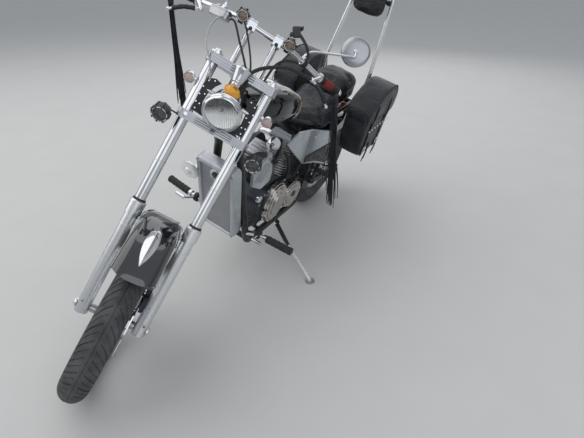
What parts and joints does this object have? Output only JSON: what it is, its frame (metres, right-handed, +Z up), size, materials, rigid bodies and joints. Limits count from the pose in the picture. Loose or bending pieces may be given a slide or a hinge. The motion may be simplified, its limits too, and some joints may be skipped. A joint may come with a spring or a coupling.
{
  "type": "chopper motorcycle",
  "caption": "Long-fork chopper motorcycle with a V-twin engine, fringed bars, saddlebags and backrest, leaning on its side stand.",
  "frame": {"origin": "on the floor, under the middle of the bounding box of the parked machine", "axes": "+Z up, the machine faces -Y, its left side is towards +X and it leans that way on its side stand"},
  "size_m": [0.9666, 2.4706, 1.5895],
  "materials": {
    "chrome": "polished",
    "black_paint": "gloss",
    "frame_paint": "satin",
    "aluminium": "satin",
    "dark_metal": "satin",
    "silver_paint": "satin",
    "leather": "satin",
    "tyre": "matte",
    "rubber": "matte",
    "glass": "clear",
    "steel": "brushed",
    "plastic": "matte",
    "red_lens": "gloss"
  },
  "bodies": {
    "frame": {"frame_tubes": "frame_paint", "swingarm": "frame_paint", "crankcase": "dark_metal", "front_cylinder": "dark_metal", "rear_cylinder": "dark_metal", "front_head": "aluminium", "rear_head": "aluminium", "left_covers": "chrome", "right_covers": "chrome", "air_cleaner": "dark_metal", "exhausts": "chrome", "radiator": "silver_paint", "radiator_shell": "silver_paint", "horn": "chrome", "fuel_tank": "black_paint", "rider_seat": "leather", "pillion_seat": "leather", "side_covers": "silver_paint", "rear_fender": "black_paint", "sissy_bar": "chrome", "backrest_pad": "leather", "saddlebag_left": "leather", "saddlebag_right": "leather", "left_foot_control": "chrome", "right_foot_control": "chrome", "passenger_pegs": "rubber", "tail_lamp": "red_lens", "plate_bracket": "steel", "chain": "steel", "rear_axle": "steel", "brake_plate": "aluminium"},
    "steering": {"lower_clamp": "aluminium", "upper_clamp": "aluminium", "fork_tubes": "chrome", "fork_sliders": "aluminium", "front_axle": "steel", "front_caliper": "dark_metal", "front_fender": "black_paint", "fender_ornament": "chrome", "headlight": "chrome", "headlight_lens": "glass", "leather_wings": "leather", "small_lamps": "plastic", "speedometer": "chrome", "risers": "chrome", "handlebar": "chrome", "grips": "rubber", "bar_controls": "chrome", "mirrors": "chrome", "bar_lamps": "plastic", "cables": "rubber", "tassels": "leather"},
    "front_wheel_body": {"front_tyre": "tyre", "front_wheel": "chrome"},
    "rear_wheel_body": {"rear_tyre": "tyre", "rear_wheel": "chrome"},
    "stand": {"side_stand": "frame_paint"}
  },
  "joints": [
    {"name": "steering_turn", "type": "hinge", "parent": "frame", "child": "steering", "pos_m": [0.05348, -0.40153, 0.91408], "axis": [0.2216, 0.5808, 0.7833], "range_deg": [-60, 0]},
    {"name": "front_wheel_spin", "type": "hinge", "parent": "steering", "child": "front_wheel_body", "pos_m": [-0.08719, -0.92851, 0.29138], "axis": [0.7524, 0.4092, -0.5162], "continuous": true},
    {"name": "rear_wheel_spin", "type": "hinge", "parent": "frame", "child": "rear_wheel_body", "pos_m": [-0.11979, 0.81897, 0.31678], "axis": [0.9617, 0.0025, -0.2739], "continuous": true},
    {"name": "side_stand_fold", "type": "hinge", "parent": "frame", "child": "stand", "pos_m": [-0.02984, 0.18036, 0.15958], "axis": [0.3996, -0.0587, 0.9148], "range_deg": [0, 110.4]}
  ]
}
